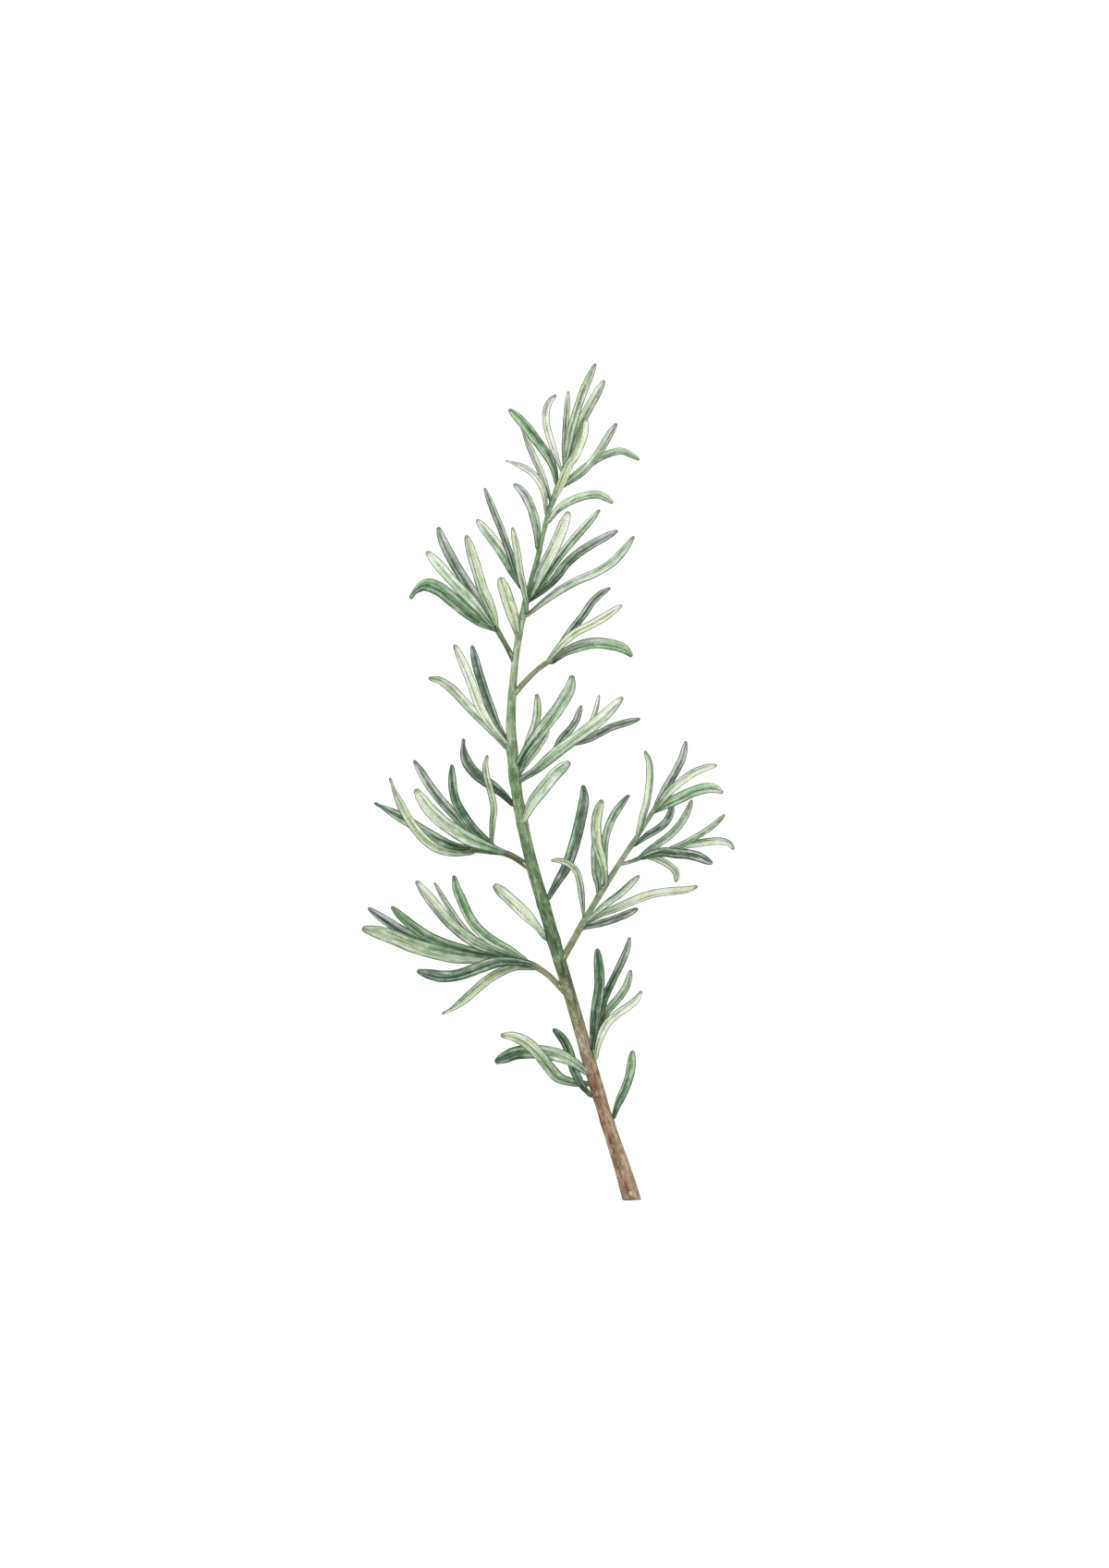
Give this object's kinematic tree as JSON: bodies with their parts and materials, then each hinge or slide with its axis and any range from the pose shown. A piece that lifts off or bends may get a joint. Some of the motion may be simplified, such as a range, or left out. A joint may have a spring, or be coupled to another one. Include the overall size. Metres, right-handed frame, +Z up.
{
  "type": "rosemary sprig",
  "caption": "Cut sprig of rosemary lying flat: a tapering woody stem with side shoots and narrow needle-like leaves that point towards the growing tip.",
  "frame": {"origin": "centre of the sprig's bounding box, on the surface that it lies on", "axes": "+Y from the cut end to the growing tip, +Z up from the surface, +X to the right seen from above"},
  "size_m": [0.1012, 0.2266, 0.0217],
  "materials": {
    "leaf_dark": "leathery, dark green upper face",
    "leaf_green": "leathery, mid-green upper face",
    "leaf_mint": "leathery, light grey-green",
    "leaf_olive": "pale olive felt, underside",
    "leaf_cream": "cream felt, underside",
    "leaf_grey": "grey felt",
    "stem_green": "young green bark",
    "stem_wood": "brown bark, rough"
  },
  "bodies": {
    "root": {"stem": "stem_wood", "shoot_left_high": "stem_green", "shoot_right_high": "stem_green", "shoot_right_mid": "stem_green", "shoot_left_low": "stem_green", "shoot_left_bottom": "stem_green", "shoot_right_fork": "stem_green", "shoot_right_fork_side": "stem_green", "shoot_right_low": "stem_green", "growing_tip": "leaf_mint", "leaf_crown_1": "leaf_cream", "leaf_crown_2": "leaf_green", "leaf_crown_3": "leaf_grey", "leaf_crown_4": "leaf_cream", "leaf_crown_5": "leaf_mint", "leaf_crown_6": "leaf_green", "leaf_crown_7": "leaf_mint", "leaf_crown_8": "leaf_green", "leaf_upper_right_1": "leaf_cream", "leaf_upper_right_2": "leaf_mint", "leaf_upper_left_1": "leaf_olive", "leaf_upper_left_2": "leaf_olive", "leaf_left_high_1": "leaf_green", "leaf_left_high_2": "leaf_olive", "leaf_right_high_1": "leaf_green", "leaf_left_mid_1": "leaf_olive", "leaf_left_mid_2": "leaf_cream", "leaf_left_mid_3": "leaf_dark", "leaf_right_mid_1": "leaf_olive", "leaf_right_mid_2": "leaf_mint", "leaf_right_mid_3": "leaf_mint", "leaf_left_low_1": "leaf_dark", "leaf_left_low_2": "leaf_olive", "leaf_left_low_3": "leaf_green", "leaf_left_low_4": "leaf_olive", "leaf_left_low_5": "leaf_olive", "leaf_left_bottom_1": "leaf_green", "leaf_left_bottom_2": "leaf_olive", "leaf_left_bottom_3": "leaf_olive", "leaf_left_bottom_4": "leaf_dark", "leaf_left_bottom_5": "leaf_olive", "leaf_left_bottom_6": "leaf_cream", "leaf_right_fork_1": "leaf_cream", "leaf_right_fork_2": "leaf_dark", "leaf_right_fork_3": "leaf_olive", "leaf_right_fork_4": "leaf_dark", "leaf_right_fork_5": "leaf_olive", "leaf_right_fork_6": "leaf_mint", "leaf_right_fork_7": "leaf_cream", "leaf_right_fork_8": "leaf_grey", "leaf_right_fork_9": "leaf_dark", "leaf_right_low_1": "leaf_dark", "leaf_right_low_2": "leaf_cream", "leaf_foot_left_1": "leaf_olive", "leaf_foot_left_2": "leaf_green", "leaf_foot_left_3": "leaf_dark", "leaf_foot_right_1": "leaf_mint", "leaf_pair_upper_right": "leaf_mint", "leaf_pair_upper_left": "leaf_cream", "leaf_pair_right_mid": "leaf_olive"}
  },
  "joints": []
}
